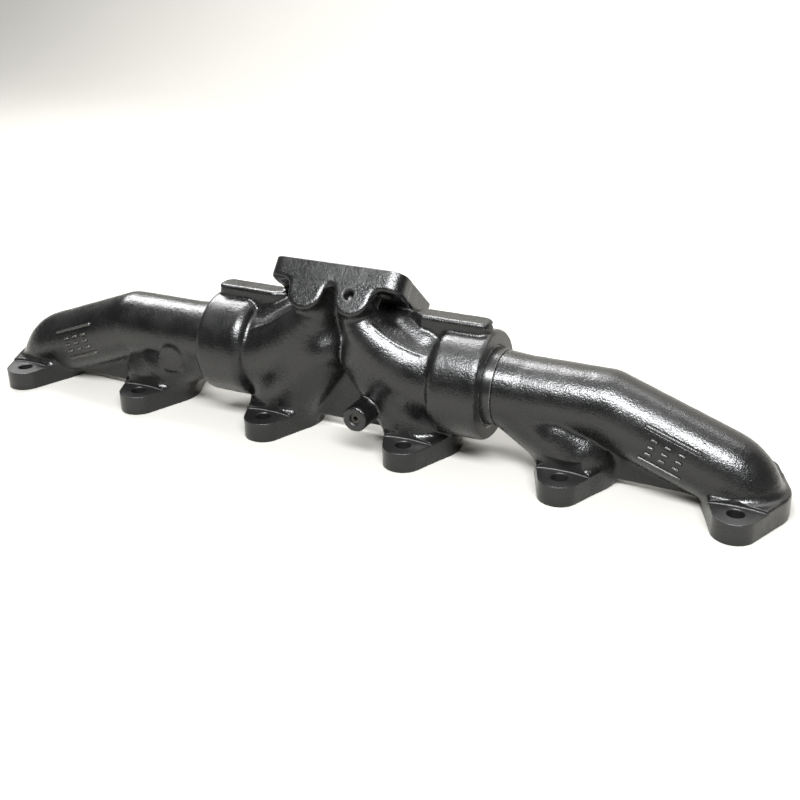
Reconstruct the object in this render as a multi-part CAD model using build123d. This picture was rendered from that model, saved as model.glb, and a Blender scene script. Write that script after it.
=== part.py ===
"""Three-piece exhaust manifold for a straight-six diesel engine, in millimetres.

A centre casting carries the two middle ports and the turbocharger flange. An end casting slips into
each side of it, sealed by split rings. +X runs along the engine, +Z away from the cylinder head, and
the origin is the middle of the port faces.
"""
import os
from math import cos, radians, sin, tan

from build123d import *

# Cylinder head side
port_pitch = 165.0
port_bore_radius = 27.0
cast_radius = 36.0          # outside of every cast gas way
bolt_offset = 50.0          # from the port centre to each bolt, along Y
bolt_hole_radius = 8.0
flange_thickness = 24.0
flange_tip_radius = 21.0
flange_port_radius = 40.0
land_height = 21.0          # machined seat for the bolt heads
land_edge = 37.0            # where the seat stops, measured from the port centre
land_cutter_radius = 100.0
land_headroom = 14.0

# Log that collects the gas, and its slip joints
log_height = 80.0
log_bore_radius = 28.5
spigot_radius = 40.5
spigot_tip_x = 118.0
spigot_shoulder_x = 170.0
neck_radius = 39.0          # cast metal just behind the machined spigot
neck_end_x = 196.0
collar_radius = 56.0
collar_face_x = 160.0
collar_back_x = 106.0
collar_bore_radius = 41.0
collar_bore_end_x = 111.0
collar_shoulder_fillet = 6.0
bore_chamfer = 1.5
elbow_shoulder_radius = 50.0
elbow_bore_radius = 30.0

# Seal rings of one slip joint
ring_count = 3
ring_width = 3.0
ring_pitch = 6.0
ring_first_x = 124.0
ring_inner_radius = 37.6
ring_running_clearance = 0.05
groove_side_clearance = 0.1
ring_gap = 1.6
groove_radius = 37.0

# Fall of the end castings towards the last port
slope_start_x = 276.0
slope_angle = 20.0
bend_radius = 38.0
near_runner_rise = 27.6     # degrees above the head face, towards the slip joint
near_knee_height = 42.5
flank_setback = 16.0        # end of the bar that fills between the log and the nearer runner
flank_height = 60.0

# Ties between neighbouring ports
web_thickness = 12.0
end_web_base = 6.0
centre_web_base = 12.0

# Turbocharger flange
turbo_tilt = 41.0
turbo_centre = (-5.5, 20.5, 159.5)
turbo_length = 149.0
turbo_depth = 92.0
turbo_thickness = 21.0
turbo_corner_radius = 12.0
outlet_offset = 20.5
outlet_half_width = 15.5
outlet_half_depth = 29.0
outlet_setback = 4.0        # outlets sit behind the middle of the flange, clear of the tapped hole
elbow_half_width = 23.5
elbow_half_depth = 40.0
stud_offset_x = 53.5
stud_offset_y = 28.0
stud_hole_radius = 5.5
nut_clearance_radius = 11.0
nut_clearance_depth = 12.0
lobe_offset = 26.5
lobe_radius = 19.5
lobe_centre_drop = 33.0
lobe_depth = 26.0
lobe_hole_radius = 5.1
lobe_hole_depth = 12.0
lobe_hole_place = (22.5, 31.0)

# Centre casting's runners
stub_lean = 33.0
stub_knee = 18.0
stub_top = 95.0
stub_forward = 8.0
shoulder_radius = 34.0      # cast mass between a collar and the turbocharger flange
shoulder_from = (98.0, 0.0, 102.0)
shoulder_to = (64.0, 6.0, 112.0)

# Ribs on the collars
rib_inner_x = 72.0
rib_outer_x = 156.0
rib_half_width = 12.0
rib_tip_half_width = 5.0
rib_top = 147.0
rib_base = 100.0
rib_point_length = 14.0
rib_end_fillet = 8.0
rib_top_fillet = 3.0

# Probe boss between the middle ports
boss_x = 35.0
boss_height = 45.5
boss_radius = 13.5
boss_face_y = -64.0
probe_hole_radius = 5.6
plug_length = 10.0
plug_recess = 3.0
plug_socket_flats = 5.0
plug_socket_depth = 6.0

# Round cast pad on the left end casting
pad_x = 208.0
pad_height = 60.0
pad_radius = 15.0
pad_face_y = -38.5

on_base = (Align.CENTER, Align.CENTER, Align.MIN)
past = 5.0                  # how far a cutter runs beyond the surface it leaves

turbo_plane = Plane(
    origin=turbo_centre,
    x_dir=(1, 0, 0),
    z_dir=(0, sin(radians(turbo_tilt)), cos(radians(turbo_tilt))),
)


def port_x(number):
    """Distance of a port from the middle of the engine. Port 1 is the last one at -X."""
    return (number - 3.5) * port_pitch


def rod(radius, start, end):
    """Round bar from one point to another."""
    axis = Vector(end) - Vector(start)
    return extrude(Plane(origin=start, z_dir=axis) * Circle(radius), axis.length)


def bent_rod(radius, start, corner, end, bend=bend_radius):
    """Round bar along two straight runs joined by a tangent arc."""
    path = FilletPolyline(start, corner, end, radius=bend)
    section = Plane(origin=path @ 0, z_dir=path % 0) * Circle(radius)
    return sweep(section, path=path)


def port_flange(x):
    """Two-bolt flange, wide at the port and narrow at the bolts, with its bolt seats machined."""
    circles = Circle(flange_port_radius).edges()
    for side in (-1, 1):
        circles += (Pos(0, side * bolt_offset) * Circle(flange_tip_radius)).edges()
    return Pos(x, 0, 0) * extrude(make_hull(circles), flange_thickness)


def bolt_cutters(x):
    """Seats and holes for the two bolts of one port."""
    cutters = Part()
    for side in (-1, 1):
        seat = Pos(0, side * (land_edge + land_cutter_radius), 0)
        seat *= Cylinder(land_cutter_radius, land_headroom, align=on_base)
        seat &= Box(2 * flange_port_radius, 4 * bolt_offset, land_headroom, align=on_base)
        cutters += Pos(x, 0, land_height) * seat
        cutters += Pos(x, side * bolt_offset, 0) * Cylinder(bolt_hole_radius, 3 * flange_thickness)
    return cutters


def web(start_x, end_x, base, top):
    """Thin upright wall that ties two neighbouring ports together."""
    centre = ((start_x + end_x) / 2, 0, (base + top) / 2)
    return Pos(*centre) * Box(end_x - start_x, web_thickness, top - base)


def ring_x(number):
    """Middle of a seal ring along X, on the +X side. Ring 1 is the innermost."""
    return ring_first_x + (number - 1) * ring_pitch


def end_gas_path(radius, port_end_z, log_start_x):
    """Level log, fall to the last port, and the swept runner of the nearer port."""
    near, far = port_x(5), port_x(6)
    knee_z = log_height - (far - slope_start_x) * tan(radians(slope_angle))
    merge_x = near - (log_height - near_knee_height) / tan(radians(near_runner_rise))
    log = rod(radius, (log_start_x, 0, log_height), (slope_start_x, 0, log_height))
    log += Pos(slope_start_x, 0, log_height) * Sphere(radius)
    log += bent_rod(radius, (slope_start_x, 0, log_height), (far, 0, knee_z), (far, 0, port_end_z))
    near_run = ((merge_x, 0, log_height), (near, 0, near_knee_height), (near, 0, port_end_z))
    log += bent_rod(radius, *near_run)
    return log


def end_casting(with_pad):
    """End casting for the +X side: spigot, log, two runners, two port flanges and their tie."""
    axis_point = (spigot_shoulder_x, 0, log_height)
    body = end_gas_path(cast_radius, 0, spigot_shoulder_x)
    body += rod(spigot_radius, (spigot_tip_x, 0, log_height), axis_point)
    neck = Cone(neck_radius, cast_radius, neck_end_x - spigot_shoulder_x, align=on_base)
    body += Pos(*axis_point) * Rot(0, 90, 0) * neck
    body += rod(cast_radius, axis_point, (port_x(5) - flank_setback, 0, flank_height))
    body += web(port_x(5), port_x(6), end_web_base, log_height / 2)
    for number in (5, 6):
        body += port_flange(port_x(number))
    if with_pad:
        body += rod(pad_radius, (pad_x, pad_face_y, pad_height), (pad_x, 0, pad_height))
    groove_width = ring_width + groove_side_clearance
    groove = Cylinder(spigot_radius + past, groove_width) - Cylinder(groove_radius, groove_width)
    for number in range(1, ring_count + 1):
        body -= Pos(ring_x(number), 0, log_height) * Rot(0, 90, 0) * groove
    for number in (5, 6):
        body -= bolt_cutters(port_x(number))
    body -= end_gas_path(port_bore_radius, -past, spigot_tip_x - past)
    body -= rod(log_bore_radius, (spigot_tip_x - past, 0, log_height), (slope_start_x, 0, log_height))
    return body


def elbow(side, collar_end_radius, half_width, half_depth, setback, start_x, end_lift):
    """Curved gas way from a collar up to its half of the turbocharger flange. Side is +1 or -1."""
    start = Vector(side * collar_back_x, 0, log_height)
    mouth = turbo_plane.from_local_coords(Vector(side * outlet_offset, setback, -turbo_thickness))
    inward = Vector(-side, 0, 0)
    path = Spline(start, mouth, tangents=[inward, turbo_plane.z_dir])
    depth_dir = turbo_plane.y_dir
    sections = [Plane(origin=(side * start_x, 0, log_height), x_dir=(0, 1, 0), z_dir=inward)]
    radii = [(collar_end_radius, collar_end_radius)]
    steps = 5
    for step in range(steps + 1):
        share = step / steps
        tangent = path % share
        across = Vector(0, 1, 0) * (1 - share) + depth_dir * share
        across = across - tangent * across.dot(tangent)
        sections.append(Plane(origin=path @ share, x_dir=across, z_dir=tangent))
        blend = share * share * (3 - 2 * share)
        radii.append((
            collar_end_radius + (half_depth - collar_end_radius) * blend,
            collar_end_radius + (half_width - collar_end_radius) * blend,
        ))
    end = mouth + turbo_plane.z_dir * end_lift
    sections.append(Plane(origin=end, x_dir=depth_dir, z_dir=turbo_plane.z_dir))
    radii.append((half_depth, half_width))
    return loft([plane * Ellipse(*pair) for plane, pair in zip(sections, radii)])


def leaning_stub(radius, port_end_z):
    """Runner of the +X middle port, leaning in to meet its elbow."""
    x = port_x(4)
    rise = stub_top - stub_knee
    top = (x - rise * tan(radians(stub_lean)), -stub_forward, stub_top)
    return bent_rod(radius, (x, 0, port_end_z), (x, 0, stub_knee), top, bend=radius)


def rib():
    """Long raised bar on top of the +X collar, pointed at its inner end."""
    shoulder_x = rib_inner_x + rib_point_length
    outline = Polyline(
        (rib_inner_x, -rib_tip_half_width),
        (shoulder_x, -rib_half_width),
        (rib_outer_x, -rib_half_width),
        (rib_outer_x, rib_half_width),
        (shoulder_x, rib_half_width),
        (rib_inner_x, rib_tip_half_width),
        close=True,
    )
    bar = Pos(0, 0, rib_base) * extrude(make_face(outline), rib_top - rib_base)
    outer_corners = bar.edges().filter_by(Axis.Z).group_by(Axis.X)[-1]
    bar = fillet(outer_corners, rib_end_fillet)
    return fillet(bar.faces().sort_by(Axis.Z)[-1].edges(), rib_top_fillet)


def lobe(side):
    """Tongue that hangs from the front edge of the turbocharger flange."""
    drop = lobe_centre_drop - turbo_thickness / 2
    strip = Pos(0, -(turbo_thickness + drop) / 2) * Rectangle(2 * lobe_radius, drop)
    strip += Pos(0, -lobe_centre_drop) * Circle(lobe_radius)
    tongue = extrude(Plane.XZ * strip, -lobe_depth)
    return turbo_plane * Pos(side * lobe_offset, -turbo_depth / 2, 0) * tongue


def turbo_plate():
    """Flange that the turbocharger bolts to."""
    plate = Pos(0, 0, -turbo_thickness / 2) * Box(turbo_length, turbo_depth, turbo_thickness)
    plate = fillet(plate.edges().filter_by(Axis.Z), turbo_corner_radius)
    return turbo_plane * plate


def turbo_cutters():
    """Stud holes with room for their nuts, and the tapped hole in the +X tongue."""
    cutters = Part()
    for x in (-stud_offset_x, stud_offset_x):
        for y in (-stud_offset_y, stud_offset_y):
            hole = Cylinder(stud_hole_radius, 2 * turbo_thickness)
            cutters += turbo_plane * Pos(x, y, -turbo_thickness / 2) * hole
            pocket = Cylinder(nut_clearance_radius, nut_clearance_depth)
            cutters += turbo_plane * Pos(x, y, -turbo_thickness - nut_clearance_depth / 2) * pocket
    across, drop = lobe_hole_place
    tapped = Rot(90, 0, 0) * Cylinder(lobe_hole_radius, 2 * lobe_hole_depth)
    cutters += turbo_plane * Pos(across, -turbo_depth / 2, -drop) * tapped
    return cutters


def collar():
    """Outside of the +X slip joint's collar."""
    sleeve = rod(collar_radius, (collar_back_x, 0, log_height), (collar_face_x, 0, log_height))
    rims = sleeve.edges().filter_by(GeomType.CIRCLE).sort_by(Axis.X)
    return fillet(rims[0], collar_shoulder_fillet)


def collar_bore():
    """Bore that the +X spigot and its rings run in, with a lead-in chamfer."""
    bore = rod(collar_bore_radius, (collar_bore_end_x, 0, log_height), (collar_face_x, 0, log_height))
    lead_in = Rot(0, 90, 0) * Cone(
        collar_bore_radius, collar_bore_radius + 2 * bore_chamfer, 2 * bore_chamfer
    )
    return bore + Pos(collar_face_x, 0, log_height) * lead_in


def both_sides(shape):
    """The shape together with its mirror image on the -X side."""
    return shape + mirror(shape, about=Plane.YZ)


def centre_casting():
    """Middle casting: two ports, two collars and the turbocharger flange, split inside by a wall."""
    port = (port_x(4), 0, 0)
    half = leaning_stub(cast_radius, 0)
    half += rod(cast_radius, port, (port_x(4), 0, log_height))
    half += port_flange(port_x(4))
    half += rod(shoulder_radius, shoulder_from, shoulder_to)
    half += Pos(*shoulder_to) * Sphere(shoulder_radius)
    half += collar()
    half += rib()
    body = both_sides(half) + turbo_plate()
    passage = both_sides(leaning_stub(port_bore_radius, -past) + collar_bore())
    for side in (-1, 1):
        outside = (elbow_half_width, elbow_half_depth, 0)
        body += elbow(side, elbow_shoulder_radius, *outside, collar_back_x + 2, past)
        body += lobe(side)
        inside = (outlet_half_width, outlet_half_depth, outlet_setback)
        passage += elbow(side, elbow_bore_radius, *inside, collar_bore_end_x + past, turbo_thickness + past)
    body += web(port_x(3), port_x(4), centre_web_base, log_height)
    body += rod(boss_radius, (boss_x, boss_face_y, boss_height), (boss_x, 0, boss_height))
    body -= passage
    body -= both_sides(bolt_cutters(port_x(4)))
    body -= turbo_cutters()
    body -= rod(probe_hole_radius, (boss_x, boss_face_y - past, boss_height), (boss_x, 0, boss_height))
    return body


def seal_ring(number):
    """Split ring in one of the +X spigot's grooves. The gaps are spread round the joint."""
    outer_radius = collar_bore_radius - ring_running_clearance
    ring = Cylinder(outer_radius, ring_width) - Cylinder(ring_inner_radius, ring_width)
    ring -= Pos(outer_radius, 0, 0) * Box(4 * ring_width, ring_gap, 2 * ring_width)
    turn = Rot(0, 90, 0) * Rot(0, 0, number * 360 / ring_count)
    return Pos(ring_x(number), 0, log_height) * turn * ring


def probe_plug():
    """Plug with a hexagon socket that closes the probe hole."""
    head = (boss_x, boss_face_y + plug_recess, boss_height)
    inward = (0, 1, 0)
    plug = rod(probe_hole_radius, head, Vector(head) + Vector(inward) * plug_length)
    hexagon = RegularPolygon(plug_socket_flats / 2, 6, major_radius=False)
    socket = extrude(Plane(origin=head, z_dir=inward) * hexagon, plug_socket_depth)
    return plug - socket


def build():
    nodes = {
        "centre_casting": centre_casting(),
        "right_end_casting": end_casting(with_pad=False),
        "left_end_casting": mirror(end_casting(with_pad=True), about=Plane.YZ),
        "probe_plug": probe_plug(),
    }
    for number in range(1, ring_count + 1):
        ring = seal_ring(number)
        nodes[f"right_seal_ring_{number}"] = ring
        nodes[f"left_seal_ring_{number}"] = mirror(ring, about=Plane.YZ)
    return nodes


os.makedirs("parts", exist_ok=True)
for node, shape in build().items():
    export_step(shape, f"parts/{node}.step")
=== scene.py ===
"""Looks for a three-piece exhaust manifold. Shapes are worked out in millimetres and placed in metres."""
import math

import bmesh
import bpy
import numpy as np
import openvdb
from mathutils import Matrix, Vector


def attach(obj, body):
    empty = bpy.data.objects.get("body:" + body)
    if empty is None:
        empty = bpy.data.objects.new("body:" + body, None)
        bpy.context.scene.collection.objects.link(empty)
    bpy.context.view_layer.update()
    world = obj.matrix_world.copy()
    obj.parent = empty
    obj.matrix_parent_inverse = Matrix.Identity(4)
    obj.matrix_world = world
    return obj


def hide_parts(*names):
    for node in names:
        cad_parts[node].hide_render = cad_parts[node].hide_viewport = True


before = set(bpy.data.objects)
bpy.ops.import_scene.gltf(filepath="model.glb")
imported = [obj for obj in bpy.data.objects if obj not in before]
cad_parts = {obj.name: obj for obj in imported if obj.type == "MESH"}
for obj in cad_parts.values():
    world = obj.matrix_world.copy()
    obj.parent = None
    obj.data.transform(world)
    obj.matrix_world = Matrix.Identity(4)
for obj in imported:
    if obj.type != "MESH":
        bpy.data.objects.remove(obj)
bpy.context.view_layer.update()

MM = 0.001
FAR = 60.0                   # a distance that no blend reaches

# Sizes shared with the CAD part, in millimetres
PITCH = 165.0
LOG_Z = 80.0
CAST_R = 36.0
BORE_R = 27.0
LOG_BORE_R = 28.5
FLANGE_T = 24.0
FLANGE_R = 40.0
TIP_R = 21.0
BOLT_Y = 50.0
BOLT_R = 8.0
LAND_Z = 21.0
LAND_EDGE = 37.0
LAND_CUTTER_R = 100.0
LAND_HEADROOM = 14.0
SPIGOT_R = 40.5
SPIGOT_TIP = 118.0
NECK_END = 196.0
COLLAR_R = 56.0
COLLAR_FACE = 160.0
COLLAR_BACK = 106.0
COLLAR_BORE_R = 41.0
COLLAR_BORE_END = 111.0
GROOVE_R = 37.0
RINGS = (124.0, 130.0, 136.0)
SLOPE_X = 276.0
SLOPE = math.radians(20.0)
BEND_R = 38.0
WEB_HALF, END_WEB_Z, CENTRE_WEB_Z = 6.0, 6.0, 12.0
TILT = math.radians(41.0)
TURBO = (-5.5, 20.5, 159.5)
PLATE = (149.0, 92.0, 21.0)
TONGUE_X, TONGUE_R, TONGUE_DROP, TONGUE_DEPTH = 26.5, 19.5, 33.0, 26.0
STUD_X, STUD_DOWN = 53.5, 28.0
STUB_LEAN = math.radians(33.0)
STUB_KNEE, STUB_TOP, STUB_Y = 18.0, 95.0, -8.0
BOSS = (35.0, -64.0, 45.5)
BOSS_R = 13.5
PAD_X, PAD_Z, PAD_R = 208.0, 60.0, 15.0

# Sizes of the skins alone
END_GRID, CENTRE_GRID = 1.3, 1.5
LUMP_SIZE, LUMP_HEIGHT = 9.0, 0.08
RUNNER_END = -10.0           # runners go on under the port faces until these are cut
NECK_START = 158.0
CAST_START, CAST_START_R = 164.0, 38.3
BRANCH_Z = 33.0
BRANCH_SLOPE = math.radians(31.5)
PAD_Y = -37.0
COLLAR_TOP = 162.0           # cut back to COLLAR_FACE
BACK_EDGE, FRONT_EDGE = 11.0, 7.0
ELBOW_START_R = 46.5
ELBOW_HALF, ELBOW_FLAT = 40.0, 23.5
WEB_EDGE = 2.5
PLATE_CORNER = 15.0


def port_x(number):
    return (number - 3.5) * PITCH


# ---------------------------------------------------------------- distance shapes
def smooth_min(a, b, blend):
    """Union of two distances with a fillet about as wide as blend."""
    if blend <= 0:
        return np.minimum(a, b)
    near = np.maximum(blend - np.abs(a - b), 0) / blend
    return np.minimum(a, b) - near * near * blend / 4


def rimmed(a, b, edge):
    """Where both distances are negative, with the edge between the two rounded."""
    a, b = a + edge, b + edge
    return np.minimum(np.maximum(a, b), 0) + np.hypot(np.maximum(a, 0), np.maximum(b, 0)) - edge


def tube(points, radii):
    """Round bar through points, its radius changing evenly from one to the next."""
    points = np.array(points, float)

    def distance(x, y, z):
        nearest = None
        for a, b, start, end in zip(points, points[1:], radii, radii[1:]):
            run = b - a
            dx, dy, dz = x - a[0], y - a[1], z - a[2]
            share = np.clip((dx * run[0] + dy * run[1] + dz * run[2]) / (run @ run), 0, 1)
            gap = (dx - share * run[0]) ** 2 + (dy - share * run[1]) ** 2 + (dz - share * run[2]) ** 2
            gap = np.sqrt(gap) - (start + share * (end - start))
            nearest = gap if nearest is None else np.minimum(nearest, gap)
        return nearest

    reach = max(radii)
    return points.min(0) - reach, points.max(0) + reach, distance


def bent(points, radius, steps=10):
    """The points with each corner between them rounded to an arc."""
    points = [np.array(p, float) for p in points]
    path = [points[0]]
    for before, corner, after in zip(points, points[1:], points[2:]):
        into = (corner - before) / np.linalg.norm(corner - before)
        out = (after - corner) / np.linalg.norm(after - corner)
        turn = math.acos(np.clip(into @ out, -1, 1))
        inward = (out - into) / np.linalg.norm(out - into)
        centre = corner + inward * radius / math.cos(turn / 2)
        side = -inward
        ahead = (into + out) / np.linalg.norm(into + out)
        for angle in np.linspace(-turn / 2, turn / 2, steps + 1):
            path.append(centre + radius * (math.cos(angle) * side + math.sin(angle) * ahead))
    path.append(points[-1])
    return path


def drum(start, end, radius, edge):
    """Round bar with flat ends and rounded rims."""
    start, end = np.array(start, float), np.array(end, float)
    middle, run = (start + end) / 2, end - start
    length = np.linalg.norm(run)
    run = run / length

    def distance(x, y, z):
        x, y, z = x - middle[0], y - middle[1], z - middle[2]
        along = x * run[0] + y * run[1] + z * run[2]
        across = np.sqrt(np.maximum(x * x + y * y + z * z - along * along, 0))
        return rimmed(np.abs(along) - length / 2, across - radius, edge)

    return np.minimum(start, end) - radius, np.maximum(start, end) + radius, distance


def flange(x0):
    """Two-bolt port flange, its lower face left long for the machining cut."""
    bottom, top = -8.0, FLANGE_T
    lean = (FLANGE_R - TIP_R) / BOLT_Y
    flat = math.sqrt(1 - lean * lean)

    def distance(x, y, z):
        px, py = np.abs(x - x0), np.abs(y)
        along = py * flat - px * lean
        side = px * flat + py * lean - FLANGE_R
        outline = np.where(along < 0, np.hypot(px, py) - FLANGE_R, side)
        outline = np.where(along > flat * BOLT_Y, np.hypot(px, py - BOLT_Y) - TIP_R, outline)
        return rimmed(outline, np.abs(z - (top + bottom) / 2) - (top - bottom) / 2, 2.5)

    reach = BOLT_Y + TIP_R
    return np.array((x0 - FLANGE_R, -reach, bottom)), np.array((x0 + FLANGE_R, reach, top)), distance


def brick(low, high, edge):
    """Upright box with rounded edges."""
    low, high = np.array(low, float), np.array(high, float)
    middle, half = (low + high) / 2, (high - low) / 2 - edge

    def distance(x, y, z):
        dx, dy, dz = (np.abs(p - m) - h for p, m, h in zip((x, y, z), middle, half))
        outside = np.maximum(dx, 0) ** 2 + np.maximum(dy, 0) ** 2 + np.maximum(dz, 0) ** 2
        return np.minimum(np.maximum(np.maximum(dx, dy), dz), 0) + np.sqrt(outside) - edge

    return low, high, distance


def turbo_local(x, y, z):
    """Coordinates across, down the slope of, and out of the turbocharger flange."""
    across, y, z = x - TURBO[0], y - TURBO[1], z - TURBO[2]
    return across, y * math.cos(TILT) - z * math.sin(TILT), y * math.sin(TILT) + z * math.cos(TILT)


def turbo_point(across, down, out):
    """The place of turbocharger flange coordinates in the frame of the part."""
    return np.array((
        TURBO[0] + across,
        TURBO[1] + down * math.cos(TILT) + out * math.sin(TILT),
        TURBO[2] - down * math.sin(TILT) + out * math.cos(TILT),
    ))


def turbo_plate():
    """Turbocharger flange and its two tongues in one flush front, the top left high for the machining cut."""
    length, depth, thickness = PLATE
    top, front, edge, tongue_edge, fillet = 6.0, -depth / 2, 3.4, 2.8, 14

    def distance(x, y, z):
        u, v, w = turbo_local(x, y, z)
        plan = rimmed(np.abs(u) - length / 2, np.abs(v) - depth / 2, PLATE_CORNER)
        slab = np.abs(w - (top - thickness) / 2) - (top + thickness) / 2
        outline = np.maximum(np.abs(u) - length / 2 - 5, slab)
        fall = np.clip(w, -TONGUE_DROP, -10.0)
        for side in (-1, 1):
            outline = smooth_min(outline, np.hypot(u - side * TONGUE_X, w - fall) - TONGUE_R, fillet)
        wall = rimmed(rimmed(outline, plan, edge), v - front - TONGUE_DEPTH, tongue_edge)
        return smooth_min(rimmed(plan, slab, edge), wall, 2)

    drop = TONGUE_DROP + TONGUE_R
    corners = [turbo_point(a, b, c) for a in (-75, 75) for b in (-47, 47) for c in (-22, 7)]
    corners += [turbo_point(a, b, -drop) for a in (-TONGUE_X - TONGUE_R, TONGUE_X + TONGUE_R)
                for b in (front, front + TONGUE_DEPTH)]
    return np.min(corners, 0), np.max(corners, 0), distance


def elbow_path(side, start_x, mouth_setback, steps=18):
    """Centres and section directions of the gas way from a collar up to the turbocharger flange."""
    start = np.array((side * start_x, 0, LOG_Z))
    mouth = turbo_point(side * 20.5, mouth_setback, -PLATE[2])
    up = turbo_point(0, 0, 1) - turbo_point(0, 0, 0)
    slope = turbo_point(0, 1, 0) - turbo_point(0, 0, 0)
    reach = np.linalg.norm(mouth - start)
    centres, wide = [], []
    for share in np.linspace(0, 1, steps + 1):
        s, r = share, 1 - share
        handles = (start, start - np.array((side * reach / 3, 0, 0)), mouth - up * reach / 3, mouth)
        weights = (r ** 3, 3 * r * r * s, 3 * r * s * s, s ** 3)
        centres.append(sum(w * h for w, h in zip(weights, handles)))
        weights = (-3 * r * r, 3 * r * r - 6 * r * s, 6 * r * s - 3 * s * s, 3 * s * s)
        ahead = sum(w * h for w, h in zip(weights, handles))
        ahead /= np.linalg.norm(ahead)
        across = np.array((0, 1, 0)) * r + slope * s
        across -= ahead * (across @ ahead)
        wide.append(across / np.linalg.norm(across))
    return centres, wide


def swept_ellipse(centres, wide, pairs):
    """Bar of elliptic section. pairs are its half sizes along wide and square to it."""
    centres, wide = np.array(centres), np.array(wide)

    def distance(x, y, z):
        nearest = None
        for i in range(len(centres) - 1):
            a, run = centres[i], centres[i + 1] - centres[i]
            dx, dy, dz = x - a[0], y - a[1], z - a[2]
            share = np.clip((dx * run[0] + dy * run[1] + dz * run[2]) / (run @ run), 0, 1)
            dx, dy, dz = dx - share * run[0], dy - share * run[1], dz - share * run[2]
            u = sum(d * (a + share * (b - a)) for d, a, b in zip((dx, dy, dz), wide[i], wide[i + 1]))
            rest = np.maximum(dx * dx + dy * dy + dz * dz - u * u, 0)
            p, q = (a + share * (b - a) for a, b in zip(pairs[i], pairs[i + 1]))
            scale = np.sqrt(u * u / p ** 2 + rest / q ** 2)
            steep = np.sqrt(u * u / p ** 4 + rest / q ** 4) + 1e-6
            gap = scale * (scale - 1) / steep
            nearest = gap if nearest is None else np.minimum(nearest, gap)
        return nearest

    reach = max(max(pair) for pair in pairs)
    return centres.min(0) - reach, centres.max(0) + reach, distance


def elbow_half_sizes(share):
    """Half sizes of an elbow's section a share of the way from its collar to the flange."""
    ease = share * share * (3 - 2 * share)
    return tuple(ELBOW_START_R + (last - ELBOW_START_R) * ease for last in (ELBOW_HALF, ELBOW_FLAT))


def elbow_ridge(side, turns, shares):
    """Raised parting line along an elbow, at an angle round its section that changes evenly."""
    steps, count, sunk, radius, tip_radius = 40, 12, 0.3, 1.7, 0.8
    centres, wide = elbow_path(side, COLLAR_BACK, 0, steps)
    points = []
    for step in np.linspace(0, 1, count):
        share = shares[0] + (shares[1] - shares[0]) * step
        turn = math.radians(turns[0] + (turns[1] - turns[0]) * step)
        index = round(share * steps)
        ahead = centres[index + 1] - centres[index - 1]
        other = np.cross(ahead / np.linalg.norm(ahead), wide[index])
        half, flat = elbow_half_sizes(index / steps)
        points.append(centres[index] + wide[index] * (half - sunk) * math.cos(turn)
                      + other * (flat - sunk) * math.sin(turn))
    return tube(points, [tip_radius] + [radius] * (count - 2) + [tip_radius])


def rib(side):
    """Long raised bar on top of a collar, pointed at its inner end."""
    inner, shoulder, outer, half, tip = 72.0, 86.0, 156.0, 12.0, 5.0
    base, top, corner, edge = 100, 147.0, 10, 3.6
    slant = math.atan2(half - tip, shoulder - inner)

    def distance(x, y, z):
        x, y = side * x, np.abs(y)
        long = np.abs(x - (inner + outer) / 2) - (outer - inner) / 2
        point = (y - tip) * math.cos(slant) - (x - inner) * math.sin(slant)
        outline = np.maximum(np.maximum(long, point), rimmed(x - outer, y - half, corner))
        return rimmed(outline, np.abs(z - (top + base) / 2) - (top - base) / 2, edge)

    ends = sorted((side * inner, side * outer))
    return np.array((ends[0], -half, base)), np.array((ends[1], half, top)), distance


# ---------------------------------------------------------------- skins
class Metal:
    """Signed distances in millimetres on a regular grid, negative inside the casting."""

    def __init__(self, low, high, step):
        self.low, self.step = np.array(low, float), step
        self.axes = [np.arange(a, b, step, dtype=np.float32) for a, b in zip(low, high)]
        self.depth = np.full([len(axis) for axis in self.axes], FAR, np.float32)

    def window(self, low, high):
        spans = tuple(
            slice(*np.searchsorted(axis, (a, b))) for axis, a, b in zip(self.axes, low, high)
        )
        return spans, np.meshgrid(*[a[s] for a, s in zip(self.axes, spans)], indexing="ij", sparse=True)

    def add(self, shape, blend=0.0):
        low, high, distance = shape
        margin = blend + 3 * self.step
        spans, (x, y, z) = self.window(low - margin, high + margin)
        self.depth[spans] = smooth_min(self.depth[spans], distance(x, y, z), blend)

    def roughen(self, size, amount, seed):
        """Uneven cast skin: soft lumps about size across and amount high."""
        rng = np.random.default_rng(seed)
        counts = [int(len(axis) * self.step / size) + 3 for axis in self.axes]
        lumps = rng.standard_normal(counts).astype(np.float32)
        for index, axis in enumerate(self.axes):
            place = (axis - axis[0]) / size
            cell = place.astype(int)
            part = (place - cell).astype(np.float32)
            part = part * part * (3 - 2 * part)
            shape = [1, 1, 1]
            shape[index] = len(axis)
            part = part.reshape(shape)
            lumps = np.take(lumps, cell, index) * (1 - part) + np.take(lumps, cell + 1, index) * part
        self.depth += amount * lumps

    def mesh(self, name):
        grid = openvdb.FloatGrid(FAR)
        grid.copyFromArray(self.depth)
        points, quads = grid.convertToQuads()
        points = (points * self.step + self.low) * MM
        mesh = bpy.data.meshes.new(name)
        mesh.from_pydata(points.tolist(), [], quads[:, ::-1].tolist())
        return mesh


def end_paths():
    """Centre lines of an end casting's far and near gas ways, at +X."""
    near, far = port_x(5), port_x(6)
    knee = LOG_Z - (far - SLOPE_X) * math.tan(SLOPE)
    merge = near - (LOG_Z - BRANCH_Z) / math.tan(BRANCH_SLOPE)
    log = bent(((SLOPE_X, 0, LOG_Z), (far, 0, knee), (far, 0, RUNNER_END)), BEND_R)
    branch = bent(((merge, 0, LOG_Z), (near, 0, BRANCH_Z), (near, 0, RUNNER_END)), BEND_R)
    return log, branch


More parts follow.
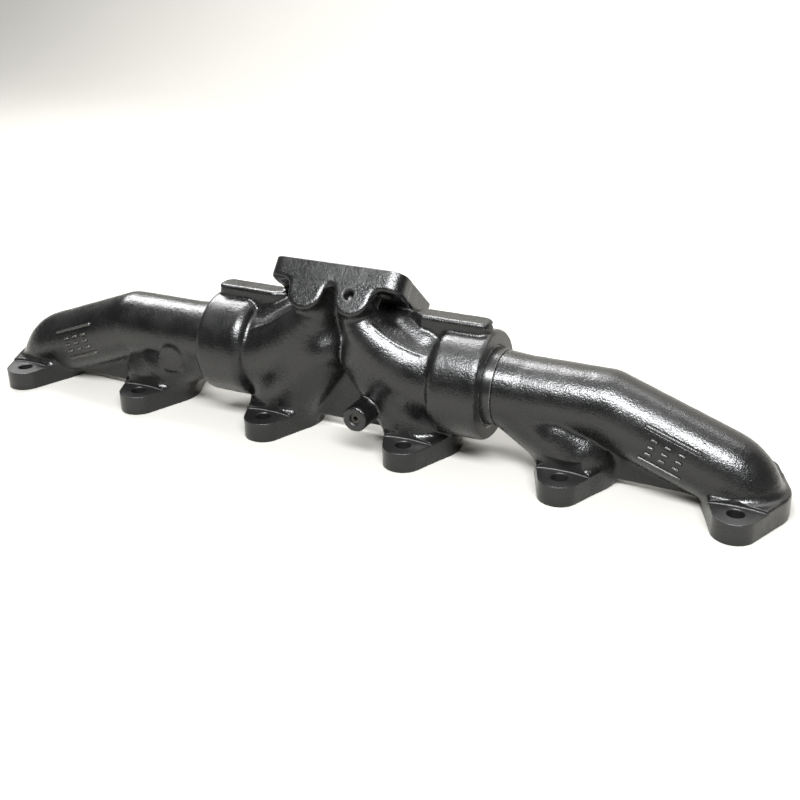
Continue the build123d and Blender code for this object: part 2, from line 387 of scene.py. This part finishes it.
def end_skin(side, with_pad):
    """Skin of an end casting. It is worked out at +X and mirrored for the left one."""
    metal = Metal((170, -76, -12), (456, 76, 122), END_GRID)
    log, branch = end_paths()
    near, far = port_x(5), port_x(6)
    start = (CAST_START, 0, LOG_Z)
    metal.add(tube([start, (NECK_END, 0, LOG_Z)] + log, [CAST_START_R] + [CAST_R] * (len(log) + 1)))
    metal.add(tube(branch, [CAST_R - 2] + [CAST_R] * (len(branch) - 1)), 4)
    knee = [(near - 12, -7, 44), (near + 2, -7, 30), (near + 2, -5, 12)]
    metal.add(tube(knee, (CAST_R - 1, CAST_R, CAST_R)), 4)
    metal.add(brick((near, -WEB_HALF, END_WEB_Z), (far, WEB_HALF, LOG_Z / 2), WEB_EDGE), 10)
    for x in (near, far):
        metal.add(flange(x), 7)
    if with_pad:
        metal.add(drum((PAD_X, PAD_Y, PAD_Z), (PAD_X, 0, PAD_Z), PAD_R, 1.2), 5)
    metal.roughen(LUMP_SIZE, LUMP_HEIGHT, 5 if side > 0 else 6)
    return metal


# ---------------------------------------------------------------- meshes
def new_object(mesh, material=None):
    thing = bpy.data.objects.new(mesh.name, mesh)
    bpy.context.scene.collection.objects.link(thing)
    if material:
        mesh.materials.append(material)
    return thing


def mesh_from(name, points, faces, material):
    mesh = bpy.data.meshes.new(name)
    mesh.from_pydata([tuple(float(c) * MM for c in p) for p in points], [], faces)
    mesh.update()
    fix = bmesh.new()
    fix.from_mesh(mesh)
    bmesh.ops.recalc_face_normals(fix, faces=fix.faces)
    fix.to_mesh(mesh)
    fix.free()
    return new_object(mesh, material)


def closed_loft(name, rings, material):
    """Solid through rings of points, capped at both ends."""
    count = len(rings[0])
    faces = [tuple(range(count)), tuple(range((len(rings) - 1) * count, len(rings) * count))]
    for i in range(len(rings) - 1):
        for j in range(count):
            k = (j + 1) % count
            faces.append((i * count + j, i * count + k, (i + 1) * count + k, (i + 1) * count + j))
    return mesh_from(name, [p for ring in rings for p in ring], faces, material)


def turned(name, origin, axis, profile, material, count=96):
    """Solid of revolution. profile holds (distance along the axis, radius) pairs."""
    axis = Vector(axis).normalized()
    first = axis.orthogonal().normalized()
    second = axis.cross(first)
    rings = []
    for along, radius in profile:
        centre = Vector(origin) + axis * along
        turns = [2 * math.pi * j / count for j in range(count)]
        rings.append([centre + (first * math.cos(t) + second * math.sin(t)) * radius for t in turns])
    return closed_loft(name, rings, material)


def swept(name, path, radius, material, count=64):
    """Round bar along a path that stays in the plane Y = 0."""
    rings, across = [], np.array((0, 1, 0))
    turns = [2 * math.pi * j / count for j in range(count)]
    for i, centre in enumerate(path):
        ahead = path[min(i + 1, len(path) - 1)] - path[max(i - 1, 0)]
        ahead = ahead / np.linalg.norm(ahead)
        up = np.cross(ahead, across)
        rings.append([centre + radius * (math.cos(t) * up + math.sin(t) * across) for t in turns])
    return closed_loft(name, rings, material)


def joined(tools):
    """One object from several that don't touch one another, which are used up."""
    mesh, form = bpy.data.meshes.new("tools"), bmesh.new()
    for tool in tools:
        look = tool.data.materials[0]
        if look.name not in mesh.materials:
            mesh.materials.append(look)
        first = len(form.faces)
        form.from_mesh(tool.data)
        form.faces.ensure_lookup_table()
        for face in form.faces[first:]:
            face.material_index = mesh.materials.find(look.name)
        bpy.data.meshes.remove(tool.data)
    form.to_mesh(mesh)
    form.free()
    return new_object(mesh)


def combine(thing, operation, *tools):
    """Applies a boolean with tools that don't touch one another. They are used up."""
    tool = joined(tools)
    cut = thing.modifiers.new("cut", "BOOLEAN")
    cut.operation, cut.solver, cut.object, cut.material_mode = operation, "MANIFOLD", tool, "TRANSFER"
    bpy.context.view_layer.update()
    result = bpy.data.meshes.new_from_object(thing.evaluated_get(bpy.context.evaluated_depsgraph_get()))
    thing.modifiers.clear()
    old = thing.data
    result.name = old.name
    thing.data = result
    bpy.data.meshes.remove(old)
    bpy.data.meshes.remove(tool.data)


def bolt_seats(x0, look):
    """Cutters for the milled seats under the two bolt heads of one port."""
    outside = 95
    for side in (-1, 1):
        centre_y = side * (LAND_EDGE + LAND_CUTTER_R)
        outline = [(x0 + side * FLANGE_R, side * outside), (x0 - side * FLANGE_R, side * outside)]
        for dx in np.linspace(-side * FLANGE_R, side * FLANGE_R, 25):
            outline.append((x0 + dx, centre_y - side * math.sqrt(LAND_CUTTER_R ** 2 - dx * dx)))
        rings = [[(x, y, z) for x, y in outline] for z in (LAND_Z, LAND_Z + LAND_HEADROOM)]
        yield closed_loft("seat", rings, look)


def bolt_holes(x0, look):
    """Cutters for the two bolt holes of one port, with a small chamfer at the top."""
    for side in (-1, 1):
        profile = [(-9, BOLT_R), (LAND_Z - 0.7, BOLT_R), (LAND_Z + 0.3, BOLT_R + 1),
                   (LAND_Z + LAND_HEADROOM, BOLT_R + 1)]
        yield turned("bolt_hole", (x0, side * BOLT_Y, 0), (0, 0, 1), profile, look, 64)


def block(name, low, high, material):
    """Upright box as a cutter."""
    rings = [
        [(low[0], low[1], z), (high[0], low[1], z), (high[0], high[1], z), (low[0], high[1], z)]
        for z in (low[2], high[2])
    ]
    return closed_loft(name, rings, material)


def bar(name, start, end, radius, material):
    """Low raised bar with round ends, set along a cast surface."""
    start, end = Vector(start), Vector(end)
    length = (end - start).length
    rounds = [(radius * (1 - math.cos(a)), radius * math.sin(a)) for a in np.linspace(0.15, math.pi / 2, 5)]
    profile = rounds + [(length - along, r) for along, r in reversed(rounds)]
    return turned(name, start, end - start, profile, material, 16)


def cast_marks(material):
    """Raised rails and short bars on the front of the falling gas way, where a foundry puts its marks."""
    fall = Vector((math.cos(SLOPE), 0, -math.sin(SLOPE)))
    lift = Vector((math.sin(SLOPE), 0, math.cos(SLOPE)))
    rail_radius, mark_radius, mark_length, proud = 1.8, 1.5, 7, 0.3

    def spot(along, turn):
        turn = math.radians(turn)
        out = Vector((0, -math.cos(turn), 0)) + lift * math.sin(turn)
        return Vector((SLOPE_X, 0, LOG_Z)) + fall * along + out * (CAST_R + proud)

    for turn, first, last in ((29, 42, 98), (-25, 48, 92)):
        yield bar("rail", spot(first, turn), spot(last, turn), rail_radius, material)
    for turn in (14, 2, -10):
        for first in (52, 66, 80):
            yield bar("mark", spot(first, turn), spot(first + mark_length, turn), mark_radius, material)


def build_end(side, looks):
    """An end casting: its skin with the turned spigot and neck, and every machined cut."""
    metal = end_skin(side, with_pad=side < 0)
    name = "right_end_casting_skin" if side > 0 else "left_end_casting_skin"
    skin = new_object(metal.mesh(name), looks["cast"])
    combine(skin, "UNION", *cast_marks(looks["cast"]))
    log, branch = end_paths()
    half_groove, inside = 1.55, 30
    profile = [(0, 36), (0, 39.3), (1.2, SPIGOT_R)]
    for x in RINGS:
        left, right = x - SPIGOT_TIP - half_groove, x - SPIGOT_TIP + half_groove
        profile += [(left, SPIGOT_R), (left, GROOVE_R), (right, GROOVE_R), (right, SPIGOT_R)]
    profile += [(NECK_START - SPIGOT_TIP, SPIGOT_R), (NECK_START - SPIGOT_TIP, inside)]
    spigot = turned("spigot", (SPIGOT_TIP, 0, LOG_Z), (1, 0, 0), profile, looks["machined"], 160)
    profile = [(0, inside), (0, 40.2), (0.6, 38.9), (11, 38.6), (12, 38.3), (12, 20)]
    neck = turned("neck", (NECK_START, 0, LOG_Z), (1, 0, 0), profile, looks["neck"], 160)
    combine(skin, "UNION", neck)
    combine(skin, "UNION", spigot)
    ports = [port_x(number) for number in (5, 6)]
    combine(skin, "DIFFERENCE", block("face", (160, -90, -30), (470, 90, 0), looks["bare"]))
    combine(skin, "DIFFERENCE", *[seat for x in ports for seat in bolt_seats(x, looks["seat"])])
    combine(skin, "DIFFERENCE", *[hole for x in ports for hole in bolt_holes(x, looks["seat"])])
    straight = [np.array((x, 0.0, LOG_Z)) for x in (112.0, 200.0, SLOPE_X + 2)]
    combine(skin, "DIFFERENCE", swept("log", straight, LOG_BORE_R, looks["inside"]))
    far = [np.array((SLOPE_X - 12.0, 0.0, LOG_Z))] + log
    combine(skin, "DIFFERENCE", swept("far", far, BORE_R, looks["inside"]))
    combine(skin, "DIFFERENCE", swept("near", branch, BORE_R, looks["inside"]))
    if side < 0:
        flip = bmesh.new()
        flip.from_mesh(skin.data)
        flip.transform(Matrix.Scale(-1, 4, (1, 0, 0)))
        bmesh.ops.reverse_faces(flip, faces=flip.faces)
        flip.to_mesh(skin.data)
        flip.free()
    return finish_skin(skin)


def finish_skin(skin):
    skin.data.shade_smooth()
    skin.data.set_sharp_from_angle(angle=math.radians(38))
    return skin


def stub_path(side, radius):
    """Path of a middle port's runner, which leans in to meet its elbow."""
    x = side * port_x(4)
    top_x = x - side * (STUB_TOP - STUB_KNEE) * math.tan(STUB_LEAN)
    return bent(((x, 0, RUNNER_END), (x, 0, STUB_KNEE), (top_x, STUB_Y, STUB_TOP)), radius)


def centre_skin():
    """Skin of the middle casting, before its cuts."""
    metal = Metal((-166, -78, -12), (166, 76, 196), CENTRE_GRID)
    web_end = port_x(4)
    for side in (-1, 1):
        x = side * port_x(4)
        lean = stub_path(side, CAST_R)
        metal.add(tube(lean, [CAST_R] * len(lean)))
        metal.add(tube(((x, 0, 0), (x, 0, LOG_Z)), (CAST_R - 1, CAST_R - 1)), 4)
        centres, wide = elbow_path(side, COLLAR_BACK, 0)
        pairs = [elbow_half_sizes(share) for share in np.linspace(0, 1, len(centres))]
        metal.add(swept_ellipse(centres, wide, pairs), 8)
        turns = (-139, -152) if side > 0 else (143, 146)
        metal.add(elbow_ridge(side, turns, (0.15, 0.72)), 1.5)
        metal.add(tube(((side * 89, -3, 111), (side * 60, 5, 122)), (23, 23)), 3)
        back, front = (side * COLLAR_BACK, 0, LOG_Z), (side * COLLAR_TOP, 0, LOG_Z)
        metal.add(drum(back, (side * 150, 0, LOG_Z), COLLAR_R, BACK_EDGE), 3)
        metal.add(drum((side * 130, 0, LOG_Z), front, COLLAR_R, FRONT_EDGE))
        metal.add(rib(side), 2.5)
    metal.add(brick((-web_end, -WEB_HALF, CENTRE_WEB_Z), (web_end, WEB_HALF, LOG_Z), WEB_EDGE), 7)
    metal.add(turbo_plate(), 4)
    for side in (-1, 1):
        metal.add(flange(side * port_x(4)), 7)
    metal.add(drum(BOSS, (BOSS[0], 0, BOSS[2]), BOSS_R, 1.6), 3)
    metal.roughen(LUMP_SIZE, LUMP_HEIGHT, 7)
    return metal


def elbow_cut(side, look):
    """Cutter for the gas way from a collar up through the turbocharger flange."""
    start, mouth = 30, (29, 15.5)
    centres, wide = elbow_path(side, COLLAR_BORE_END + 3, 4)
    out = turbo_point(0, 0, 1) - turbo_point(0, 0, 0)
    rings = []
    for i, (centre, across) in enumerate(zip(centres, wide)):
        share = i / (len(centres) - 1)
        ease = share * share * (3 - 2 * share)
        ahead = centres[min(i + 1, len(centres) - 1)] - centres[max(i - 1, 0)]
        other = np.cross(ahead / np.linalg.norm(ahead), across)
        p, q = (start + (last - start) * ease for last in mouth)
        turns = np.linspace(0, 2 * math.pi, 64, endpoint=False)
        rings.append([centre + across * p * math.cos(t) + other * q * math.sin(t) for t in turns])
    rings.append([point + out * (PLATE[2] + 5) for point in rings[-1]])
    return closed_loft("elbow", rings, look)


def build_centre(looks):
    """The middle casting: its skin and every machined cut."""
    skin = new_object(centre_skin().mesh("centre_casting_skin"), looks["cast"])
    out = turbo_point(0, 0, 1) - turbo_point(0, 0, 0)
    slope = turbo_point(0, 1, 0) - turbo_point(0, 0, 0)
    top = [[turbo_point(a, b, c) for a, b in ((-90, -60), (90, -60), (90, 60), (-90, 60))] for c in (0, 20)]
    under = block("face", (-180, -90, -30), (180, 90, 0), looks["bare"])
    faces = [under, closed_loft("top", top, looks["bare"])]
    seats, holes, bores, runners, elbows = [], [], [], [], []
    hole, relief = [(0, 5.5), (39.2, 5.5), (41, 7.3)], [(0, 11), (12, 11)]
    for side in (-1, 1):
        axis = (side, 0, 0)
        x = side * port_x(4)
        flare = [(0, 20), (0, COLLAR_R - 1.3), (-9, COLLAR_R + 7.7), (20, COLLAR_R + 8)]
        faces.append(turned("collar_face", (side * COLLAR_FACE, 0, LOG_Z), axis, flare, looks["face"], 160))
        depth = COLLAR_FACE - COLLAR_BORE_END
        bore = [(0, COLLAR_BORE_R), (depth - 1.5, COLLAR_BORE_R), (depth + 8.5, COLLAR_BORE_R + 10)]
        bores.append(turned("bore", (side * COLLAR_BORE_END, 0, LOG_Z), axis, bore, looks["machined"], 160))
        seats += bolt_seats(x, looks["seat"])
        holes += bolt_holes(x, looks["seat"])
        runners.append(swept("runner", stub_path(side, BORE_R), BORE_R, looks["inside"]))
        elbows.append(elbow_cut(side, looks["inside"]))
        for down in (-STUD_DOWN, STUD_DOWN):
            holes.append(turned("stud", turbo_point(side * STUD_X, down, -40), out, hole, looks["bare"], 48))
            seats.append(turned("nut", turbo_point(side * STUD_X, down, -33), out, relief, looks["seat"], 48))
    tapped = [(-3, 9.6), (1.4, 5.1), (12, 5.1), (14.5, 0.3)]
    holes.append(turned("tapped", turbo_point(22.5, -46, -31), slope, tapped, looks["seat"], 48))
    probe = [(-3, 9.4), (0.8, 5.6), (64, 5.6)]
    holes.append(turned("probe", BOSS, (0, 1, 0), probe, looks["seat"], 48))
    for group in (faces, seats, holes, bores, runners[:1], runners[1:], elbows[:1], elbows[1:]):
        combine(skin, "DIFFERENCE", *group)
    return finish_skin(skin)


# ---------------------------------------------------------------- materials
class Shade:
    """A node material with one Principled shader."""

    def __init__(self, name, **values):
        self.material = bpy.data.materials.new(name)
        self.material.use_nodes = True
        self.tree = self.material.node_tree
        self.shader = self.tree.nodes["Principled BSDF"]
        for socket, value in values.items():
            self.shader.inputs[socket.replace("_", " ")].default_value = value
        self.place = self.tree.nodes.new("ShaderNodeTexCoord").outputs["Object"]

    def node(self, kind, **settings):
        made = self.tree.nodes.new(kind)
        for key, value in settings.items():
            if isinstance(value, bpy.types.NodeSocket):
                self.tree.links.new(value, made.inputs[key])
            elif key in made.inputs:
                made.inputs[key].default_value = value
            else:
                setattr(made, key, value)
        return made

    def noise(self, scale, detail=2.0, roughness=0.5):
        return self.node("ShaderNodeTexNoise", Vector=self.place, Scale=scale, Detail=detail,
                         Roughness=roughness).outputs["Fac"]

    def math(self, operation, a, b, clamp=False):
        made = self.node("ShaderNodeMath", operation=operation, use_clamp=clamp)
        for index, value in enumerate((a, b)):
            if isinstance(value, bpy.types.NodeSocket):
                self.tree.links.new(value, made.inputs[index])
            else:
                made.inputs[index].default_value = value
        return made.outputs[0]

    def spread(self, value, low, high, out_low=0.0, out_high=1.0):
        made = self.node("ShaderNodeMapRange", Value=value, clamp=True)
        for key, number in (("From Min", low), ("From Max", high), ("To Min", out_low), ("To Max", out_high)):
            made.inputs[key].default_value = number
        return made.outputs[0]

    def mix(self, share, a, b):
        made = self.node("ShaderNodeMix", data_type="RGBA")
        self.tree.links.new(share, made.inputs["Factor"])
        for index, value in ((6, a), (7, b)):
            if isinstance(value, bpy.types.NodeSocket):
                self.tree.links.new(value, made.inputs[index])
            else:
                made.inputs[index].default_value = (*value, 1)
        return made.outputs[2]

    def rounded(self, radius):
        """Normals that run round the edges, and 1 where they turn away from the true ones."""
        normal = self.node("ShaderNodeBevel", Radius=radius, samples=4).outputs["Normal"]
        true = self.node("ShaderNodeNewGeometry").outputs["Normal"]
        dot = self.node("ShaderNodeVectorMath", operation="DOT_PRODUCT")
        self.tree.links.new(normal, dot.inputs[0])
        self.tree.links.new(true, dot.inputs[1])
        return normal, self.spread(dot.outputs["Value"], 0.995, 0.93)

    def outward(self):
        """1 on outer edges, 0 elsewhere."""
        return self.spread(self.node("ShaderNodeNewGeometry").outputs["Pointiness"], 0.50, 0.53)

    def bump(self, height, distance, strength=1.0, under=None):
        made = self.node("ShaderNodeBump", Height=height, Distance=distance, Strength=strength)
        if under is not None:
            self.tree.links.new(under, made.inputs["Normal"])
        return made.outputs["Normal"]

    def put(self, socket, output):
        self.tree.links.new(output, self.shader.inputs[socket])


def coated(name, dark, light, rough, grain):
    """Satin graphite coating. grain scales the sand texture under it."""
    shade = Shade(name)
    blotch = shade.noise(28, 3, 0.6)
    speck = shade.noise(900, 2, 0.6)
    colour = shade.mix(shade.spread(blotch, 0.35, 0.7), dark, light)
    normal, turned_away = shade.rounded(0.0016)
    # painted highlight: on top of the rounded normals, outer edges are mixed towards a light grey so they
    # read as bright edge lines
    edge_highlight = shade.math("MULTIPLY", turned_away, shade.outward())
    edge_highlight = shade.math("MULTIPLY", edge_highlight, shade.spread(speck, 0.3, 0.6), True)
    shade.put("Base Color", shade.mix(edge_highlight, colour, (0.15, 0.145, 0.135)))
    uneven = shade.math("ADD", shade.spread(blotch, 0.3, 0.7, rough - 0.05, rough + 0.05),
                        shade.spread(speck, 0.3, 0.7, -0.04, 0.04))
    shade.put("Roughness", uneven)
    for scale, height in ((320, 0.00015), (600, 0.00018), (1000, 0.00010)):
        normal = shade.bump(shade.noise(scale, 1.0, 0.5), height * grain, 1.0, normal)
    shade.put("Normal", normal)
    return shade.material


def machined(name, colour, rough, metallic, rings):
    """Turned or milled iron with fine tool marks along an axis."""
    shade = Shade(name, Metallic=metallic)
    blotch = shade.noise(40, 3, 0.6)
    fine = shade.noise(1500, 2, 0.5)
    darker = tuple(c * 0.7 for c in colour)
    shade.put("Base Color", shade.mix(shade.spread(blotch, 0.35, 0.68), darker, colour))
    shade.put("Roughness", shade.math("ADD", shade.spread(blotch, 0.3, 0.7, rough - 0.05, rough + 0.05),
                                      shade.spread(fine, 0.3, 0.7, -0.05, 0.05)))
    wave = shade.node("ShaderNodeTexWave", Vector=shade.place, Scale=rings, Distortion=0.6,
                      wave_type="BANDS", bands_direction="X").outputs["Fac"]
    wave.node.inputs["Detail Scale"].default_value = 60
    normal = shade.bump(wave, 0.000012)
    shade.put("Normal", shade.bump(fine, 0.00002, 1.0, normal))
    return shade.material


looks = {
    "cast": coated("graphite_on_cast_iron", (0.0018, 0.0018, 0.0018), (0.0040, 0.0039, 0.0037), 0.28, 1.25),
    "seat": coated("graphite_on_milled_iron", (0.0035, 0.0035, 0.0034), (0.007, 0.0069, 0.0067), 0.38, 0.3),
    "face": coated("graphite_on_turned_iron", (0.008, 0.008, 0.0075), (0.014, 0.0135, 0.013), 0.40, 0.25),
    "neck": coated("graphite_on_turned_neck", (0.0045, 0.0045, 0.0044), (0.009, 0.009, 0.0087), 0.27, 0.25),
    "machined": machined("turned_iron", (0.16, 0.16, 0.155), 0.30, 0.7, 330),
    "bare": machined("milled_iron", (0.20, 0.195, 0.185), 0.38, 0.8, 160),
    "inside": coated("core_skin", (0.012, 0.011, 0.010), (0.030, 0.026, 0.022), 0.72, 1.6),
    "ring": machined("ground_ring_steel", (0.42, 0.41, 0.40), 0.24, 1.0, 700),
    # painted shade: the plug's steel colour is made very dark so the hole it sits in reads as shaded
    "plug": machined("plug_steel_with_painted_shade", (0.07, 0.068, 0.064), 0.38, 0.9, 900),
}

# ---------------------------------------------------------------- camera, floor and light
LOOK_AT = Vector((55.14, 0, 44.35)) * MM
AZIMUTH, ELEVATION, ROLL = (math.radians(a) for a in (26.42, 24.77, -1.0))
DISTANCE = 1.2091
back = Vector((
    math.sin(AZIMUTH) * math.cos(ELEVATION),
    -math.cos(AZIMUTH) * math.cos(ELEVATION),
    math.sin(ELEVATION),
))
right = (-back).cross(Vector((0, 0, 1))).normalized()
up = right.cross(-back)
tilted_right = math.cos(ROLL) * right + math.sin(ROLL) * up
tilted_up = math.cos(ROLL) * up - math.sin(ROLL) * right
camera = bpy.data.objects.new("camera", bpy.data.cameras.new("camera"))
bpy.context.scene.collection.objects.link(camera)
camera.data.sensor_width, camera.data.lens = 36, 52.14
camera.data.clip_start, camera.data.clip_end = 0.05, 50
camera.matrix_world = Matrix.Translation(LOOK_AT + back * DISTANCE) @ Matrix((
    (tilted_right.x, tilted_up.x, back.x),
    (tilted_right.y, tilted_up.y, back.y),
    (tilted_right.z, tilted_up.z, back.z),
)).to_4x4()
bpy.context.scene.camera = camera


def softbox(name, place, aim, size, power, colour=(1, 1, 1)):
    """Rectangular area light that faces the point aim, its length along X."""
    lamp = bpy.data.lights.new(name, "AREA")
    lamp.shape = "RECTANGLE"
    lamp.size, lamp.size_y = size
    lamp.energy, lamp.color = power, colour
    thing = bpy.data.objects.new(name, lamp)
    bpy.context.scene.collection.objects.link(thing)
    away = (Vector(place) - Vector(aim)).normalized()
    along = (Vector((1, 0, 0)) - away * away.x).normalized()
    across = away.cross(along)
    thing.matrix_world = Matrix.Translation(place) @ Matrix((along, across, away)).transposed().to_4x4()


softbox("key", (0.42, -1.10, 1.54), (0.1, 0, 0.06), (1.8, 0.50), 165, (0.97, 0.985, 1.0))
softbox("overhead", (-1.0, 0.80, 1.62), (-0.1, 0, 0.06), (1.6, 0.7), 74)
softbox("ceiling", (0, 0.2, 2.7), (0, 0.2, 0), (3.6, 2.6), 42)
softbox("backdrop", (0, 1.3, 2.6), (0, 3.0, 1.0), (4.0, 0.6), 200)

world = bpy.data.worlds.new("studio")
bpy.context.scene.world = world
world.use_nodes = True
world.node_tree.nodes["Background"].inputs["Color"].default_value = (0.93, 0.95, 1.0, 1)
world.node_tree.nodes["Background"].inputs["Strength"].default_value = 0.13

# A flat floor that curves up into a wall behind the object, in millimetres
curve = [(1500 + 900 * math.sin(a), 900 - 900 * math.cos(a)) for a in np.linspace(0, math.pi / 2, 13)]
outline = [(-5000, 0)] + curve + [(2400, 4500)]
strips = [(i, i + 1, i + 1 + len(outline), i + len(outline)) for i in range(len(outline) - 1)]
points = [(x, y, z - 0.3) for x in (-6000, 6000) for y, z in outline]
floor = mesh_from("floor", points, strips, None)
floor.data.shade_smooth()
floor_look = Shade("pale_floor", Roughness=0.9)
pale = floor_look.mix(floor_look.noise(3, 2), (0.265, 0.259, 0.240), (0.28, 0.273, 0.254))
# painted shade: the floor is coloured darker towards the front, so the lower sides of the casting reflect a
# dark floor there
forward = floor_look.node("ShaderNodeSeparateXYZ", Vector=floor_look.place).outputs["Y"]
front_painted_shade = floor_look.spread(forward, -0.55, -1.3)
floor_look.put("Base Color", floor_look.mix(front_painted_shade, pale, (0.15, 0.149, 0.145)))
floor.data.materials.append(floor_look.material)
bpy.context.scene.view_settings.view_transform = "Standard"

# ---------------------------------------------------------------- the object
for name, body, skin in (
    ("centre_casting", "centre", build_centre(looks)),
    ("right_end_casting", "right_end", build_end(1, looks)),
    ("left_end_casting", "left_end", build_end(-1, looks)),
):
    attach(skin, body)
    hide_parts(name)

for name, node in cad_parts.items():
    if "ring" in name or "plug" in name:
        node.data.materials.clear()
        node.data.materials.append(looks["ring" if "ring" in name else "plug"])
